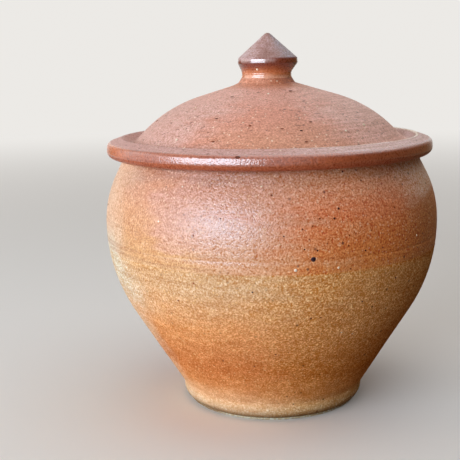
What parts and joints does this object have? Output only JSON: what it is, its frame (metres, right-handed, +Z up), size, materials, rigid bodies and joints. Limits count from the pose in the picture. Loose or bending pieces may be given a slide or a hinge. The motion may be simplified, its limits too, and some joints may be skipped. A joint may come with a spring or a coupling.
{
  "type": "sugar pot",
  "caption": "Round-bellied stoneware sugar pot on a small foot, with a domed lift-off lid that has an overhanging lipped flange and a pointed knob.",
  "frame": {"origin": "centre of the foot, on the plane that the pot stands on", "axes": "+Z up along the axis of the pot; X and Y are free, because the pot is round"},
  "size_m": [0.11, 0.11, 0.122],
  "materials": {
    "pot_stoneware": "flashed orange and sandy stoneware, satin and grainy",
    "lid_stoneware": "dusty pink-brown stoneware with a glossier red-brown edge",
    "knob_stoneware": "red-brown stoneware, matte on its cone and glossier under it"
  },
  "bodies": {
    "pot": {"pot": "pot_stoneware"},
    "lid": {"lid": "lid_stoneware", "lid_collar": "lid_stoneware", "knob": "knob_stoneware"}
  },
  "joints": [
    {"name": "lid_lift", "type": "slide", "parent": "pot", "child": "lid", "axis": [0, 0, 1], "range_m": [0, 0.1]}
  ]
}
